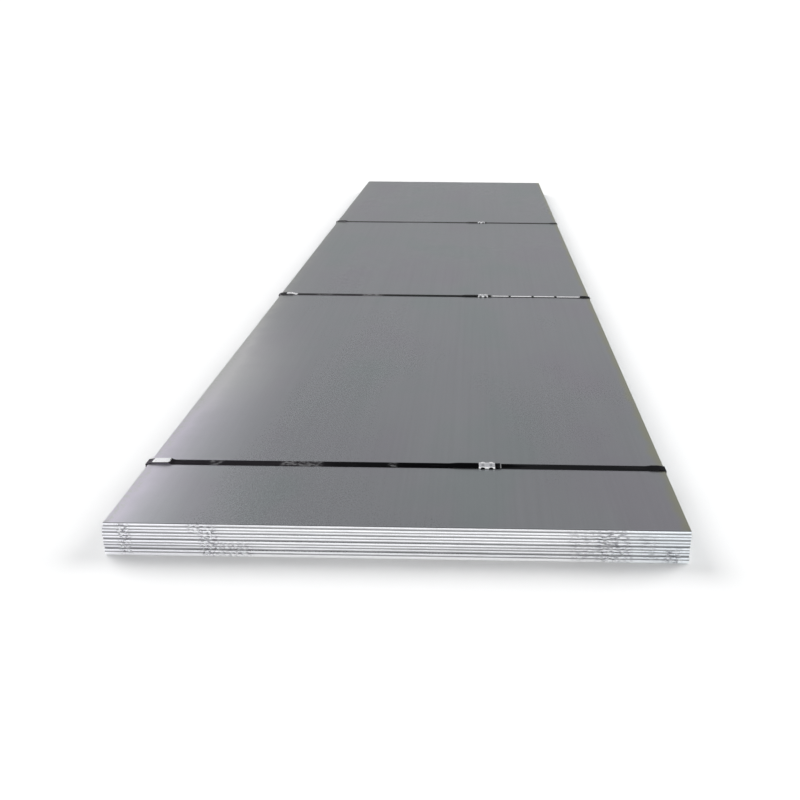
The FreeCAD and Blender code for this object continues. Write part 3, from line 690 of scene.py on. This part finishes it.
def make_seal(name, seed):
    """A folded sleeve of 1 mm sheet. Each side has two notches, where the sheet is
    sheared through and its lip is crimped up into a short arch."""
    lo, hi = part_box(name)
    cx, cy, z0 = (lo.x + hi.x) / 2, (lo.y + hi.y) / 2, lo.z
    t = 1.0
    half_l = 23.5
    mid_w = 16.8 + 0.0                      # middle of the sheet in the sides
    z_low, z_top, r = 0.5, 3.7, 0.8
    pitch, nw = 12.0, 6.0                   # notch centres from the middle, and half a notch
    root = 11.8                             # where the crimped lip starts to rise
    rise, reach = 2.7, 0.75
    def arch(x):
        d = min(abs(x - pitch), abs(x + pitch)) / (nw + 1.6)
        return 0.0 if d >= 1 else (0.5 + 0.5 * math.cos(math.pi * d)) ** 0.6
    xs = sorted(set([round(v, 4) for v in np.linspace(-half_l, half_l, 48)] +
                    [s * pitch + k * nw for s in (-1, 1) for k in (-1, -0.85, 0.85, 1)]))
    nxs = len(xs)
    verts, faces = [], []
    index = {}
    def vert(key, x, y, z):
        if key not in index:
            index[key] = len(verts)
            verts.append((x, y, z))
        return index[key]
    def quad(a, b, c, d):
        faces.append((a, b, c, d))
    inside = lambda xm: any(abs(xm - s * pitch) < nw - 1e-6 for s in (-1, 1))
    crown = [k / 10 * (mid_w - r) for k in range(-10, 11)]
    def lift(x, y):
        s = (abs(y) - root) / (mid_w - r - root)
        s = min(max(s, 0), 1)
        return rise * 0.72 * arch(x) * s * s * (3 - 2 * s)
    wob = smooth_noise(np.array(xs) * 0.001 + seed, seed, 0.007) * 0.12
    def top_v(i, j):
        x, y = xs[i], crown[j]
        return vert(("t", i, j), x, y, z_top + lift(x, y) + wob[i] * abs(y) / mid_w)
    for i in range(nxs - 1):
        for j in range(20):
            quad(top_v(i, j), top_v(i + 1, j), top_v(i + 1, j + 1), top_v(i, j + 1))
    for sgn, j0 in ((-1, 0), (1, 20)):
        path = []
        for k in range(1, 5):
            a = math.pi / 2 * k / 4
            path.append((mid_w - r + r * math.sin(a), z_top - r + r * math.cos(a)))
        path += [(mid_w, 2.6), (mid_w, 2.1), (mid_w, 1.6)]
        for k in range(0, 5):
            a = math.pi / 2 * k / 4
            path.append((mid_w - r + r * math.cos(a), z_low + r - r * math.sin(a)))
        path += [(13.0, z_low), (10.0, z_low), (7.0, z_low), (4.0, z_low)]
        def side_v(i, k):
            if k < 0:
                return top_v(i, j0)
            y, z = path[k]
            fade = max(0.0, 1 - k / 4) * lift(xs[i], mid_w)
            return vert(("s", sgn, i, k), xs[i], sgn * y, z + fade)
        def lip_v(i, k):
            if k < 0:
                return top_v(i, j0)
            x = xs[i]
            y = mid_w - r + (r + reach - 0.5) * (k + 1) / 3
            z = z_top + lift(x, mid_w) + (rise * 0.28 * arch(x)) * (k + 1) / 3 - 0.15 * (k + 1) / 3
            return vert(("l", sgn, i, k), x, sgn * y, z + wob[i])
        for i in range(nxs - 1):
            cut = inside((xs[i] + xs[i + 1]) / 2)
            if cut:
                for k in range(-1, 2):
                    q = (lip_v(i, k), lip_v(i + 1, k), lip_v(i + 1, k + 1), lip_v(i, k + 1))
                    faces.append(q if sgn > 0 else q[::-1])
                lows = range(len(path) - 4, len(path) - 1)
            else:
                lows = range(-1, len(path) - 1)
            for k in lows:
                q = (side_v(i, k), side_v(i + 1, k), side_v(i + 1, k + 1), side_v(i, k + 1))
                faces.append(q if sgn > 0 else q[::-1])
    pts = [(cx + x * MM, cy + y * MM, z0 + z * MM) for x, y, z in verts]
    o = new_object(name + "_sheet", pts, faces, [ZINC], [0] * len(faces), [True] * len(faces))
    bm = bmesh.new(); bm.from_mesh(o.data)
    bmesh.ops.recalc_face_normals(bm, faces=bm.faces)
    bm.to_mesh(o.data); bm.free()
    mod = o.modifiers.new("sheet", "SOLIDIFY")
    mod.thickness = t * MM
    mod.offset = 0.0
    mod.use_even_offset = False
    mod.use_rim = True
    dg = bpy.context.evaluated_depsgraph_get()
    solid = bpy.data.meshes.new_from_object(o.evaluated_get(dg))
    o.modifiers.clear()
    o.data = solid
    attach(o, "root")
    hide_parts(name)
    return o


for k, end in enumerate(("front", "middle", "rear")):
    make_seal("seal_" + end, 700 + k)

# -------------------------------------------------------------------- stage
def floor():
    me = bpy.data.meshes.new("floor")
    s = 400.0
    me.from_pydata([(-s, -s, 0), (s, -s, 0), (s, s, 0), (-s, s, 0)], [], [(0, 1, 2, 3)])
    o = bpy.data.objects.new("floor", me)
    bpy.context.scene.collection.objects.link(o)
    m = bpy.data.materials.new("floor_paper")
    m.use_nodes = True
    b = m.node_tree.nodes["Principled BSDF"]
    b.inputs["Base Color"].default_value = (0.93, 0.93, 0.93, 1)
    b.inputs["Roughness"].default_value = 0.9
    b.inputs["Specular IOR Level"].default_value = 0.1
    me.materials.append(m)
    return o


floor()

# The studio: a white cyclorama under a dim even sky, with a long soft panel up on the
# left, two soft lamps behind and a low soft one in front.
def studio():
    world = bpy.data.worlds.new("studio")
    bpy.context.scene.world = world
    world.use_nodes = True
    t = world.node_tree
    bg = t.nodes["Background"]
    out = t.nodes["World Output"]
    direction = t.nodes.new("ShaderNodeTexCoord").outputs["Generated"]
    sep = t.nodes.new("ShaderNodeSeparateXYZ")
    t.links.new(direction, sep.inputs[0])
    x, y, z = sep.outputs

    def put(s, v):
        if isinstance(v, bpy.types.NodeSocket):
            t.links.new(v, s)
        else:
            s.default_value = v

    def m(op, a, b=None, c=None):
        n = t.nodes.new("ShaderNodeMath")
        n.operation = op
        put(n.inputs[0], a)
        if b is not None: put(n.inputs[1], b)
        if c is not None: put(n.inputs[2], c)
        return n.outputs[0]

    def step(v, a, b, lo=0.0, hi=1.0):
        n = t.nodes.new("ShaderNodeMapRange")
        n.interpolation_type = "SMOOTHSTEP"
        put(n.inputs["Value"], v)
        n.inputs["From Min"].default_value = a
        n.inputs["From Max"].default_value = b
        put(n.inputs["To Min"], lo)
        put(n.inputs["To Max"], hi)
        return n.outputs["Result"]

    def box(v, a, b, soft):
        return m("MULTIPLY", step(v, a - soft, a + soft), step(v, b - soft, b + soft, 1.0, 0.0))

    zz = m("MAXIMUM", z, 0.02)
    xz, yz = m("DIVIDE", x, zz), m("DIVIDE", y, zz)
    el = m("ARCSINE", z)
    deg = math.pi / 180
    # dim sky, darkest at middle heights, the same all the way round
    low = step(el, 12 * deg, 29 * deg, LOW_FAR, LOW_NEAR)
    sky = step(el, 36 * deg, 60 * deg, low, HIGH)
    # long panel on the left, parallel to the pack
    side = m("MULTIPLY", box(xz, -2.6, -0.95, 0.12), box(yz, 1.1, 3.4, 0.6))
    sky = m("ADD", sky, m("MULTIPLY", side, PANEL))
    t.links.new(sky, bg.inputs["Strength"])
    bg.inputs["Color"].default_value = (0.985, 0.995, 1.0, 1)
    plain = t.nodes.new("ShaderNodeBackground")
    plain.inputs["Color"].default_value = (1.0, 1.0, 1.0, 1)
    plain.inputs["Strength"].default_value = 1.1
    seen = t.nodes.new("ShaderNodeLightPath").outputs["Is Camera Ray"]
    mixer = t.nodes.new("ShaderNodeMixShader")
    t.links.new(seen, mixer.inputs[0])
    t.links.new(bg.outputs[0], mixer.inputs[1])
    t.links.new(plain.outputs[0], mixer.inputs[2])
    t.links.new(mixer.outputs[0], out.inputs["Surface"])


LOW_FAR, LOW_NEAR, HIGH = 0.57, 0.215, 0.37
PANEL = 1.95
studio()


def soft_sun(name, elevation, azimuth, angle, strength):
    """A large soft source: azimuth 0 stands behind the pack. It lights dull surfaces only."""
    l = bpy.data.lights.new(name, "SUN")
    l.energy = strength
    l.angle = math.radians(angle)
    o = bpy.data.objects.new(name, l)
    bpy.context.scene.collection.objects.link(o)
    e, a = math.radians(elevation), math.radians(azimuth)
    d = Vector((math.cos(e) * math.sin(a), math.cos(e) * math.cos(a), math.sin(e)))
    o.rotation_euler = d.to_track_quat("Z", "Y").to_euler()
    o.location = d * 6
    o.visible_glossy = False
    return o


soft_sun("key_behind_left", 36, -54, 42, 1.82)
soft_sun("key_behind_right", 31, 62, 42, 2.0)
soft_sun("fill_front", 14, 180, 34, 1.72)


def camera():
    cam = bpy.data.cameras.new("camera")
    o = bpy.data.objects.new("camera", cam)
    bpy.context.scene.collection.objects.link(o)
    F, cx = 880.486, 460.564
    pitch, yaw, roll = (math.radians(v) for v in (22.0829, -0.8328, 0.4363))
    f = Vector((math.sin(yaw) * math.cos(pitch), math.cos(yaw) * math.cos(pitch), -math.sin(pitch)))
    r = Vector((math.cos(yaw), -math.sin(yaw), 0))
    u = r.cross(f)
    r2 = r * math.cos(roll) + u * math.sin(roll)
    u2 = -r * math.sin(roll) + u * math.cos(roll)
    o.matrix_world = Matrix(((r2.x, u2.x, -f.x, 0.19316), (r2.y, u2.y, -f.y, -4.95295),
                             (r2.z, u2.z, -f.z, 1.24057), (0, 0, 0, 1)))
    cam.sensor_width = 36.0
    cam.sensor_fit = "AUTO"
    cam.lens = F / 800.0 * 36.0
    cam.shift_x = -(cx - 400.0) / 800.0
    cam.clip_start, cam.clip_end = 0.05, 1000
    cam.dof.use_dof = False
    bpy.context.scene.camera = o


camera()
bpy.context.scene.view_settings.view_transform = "Standard"
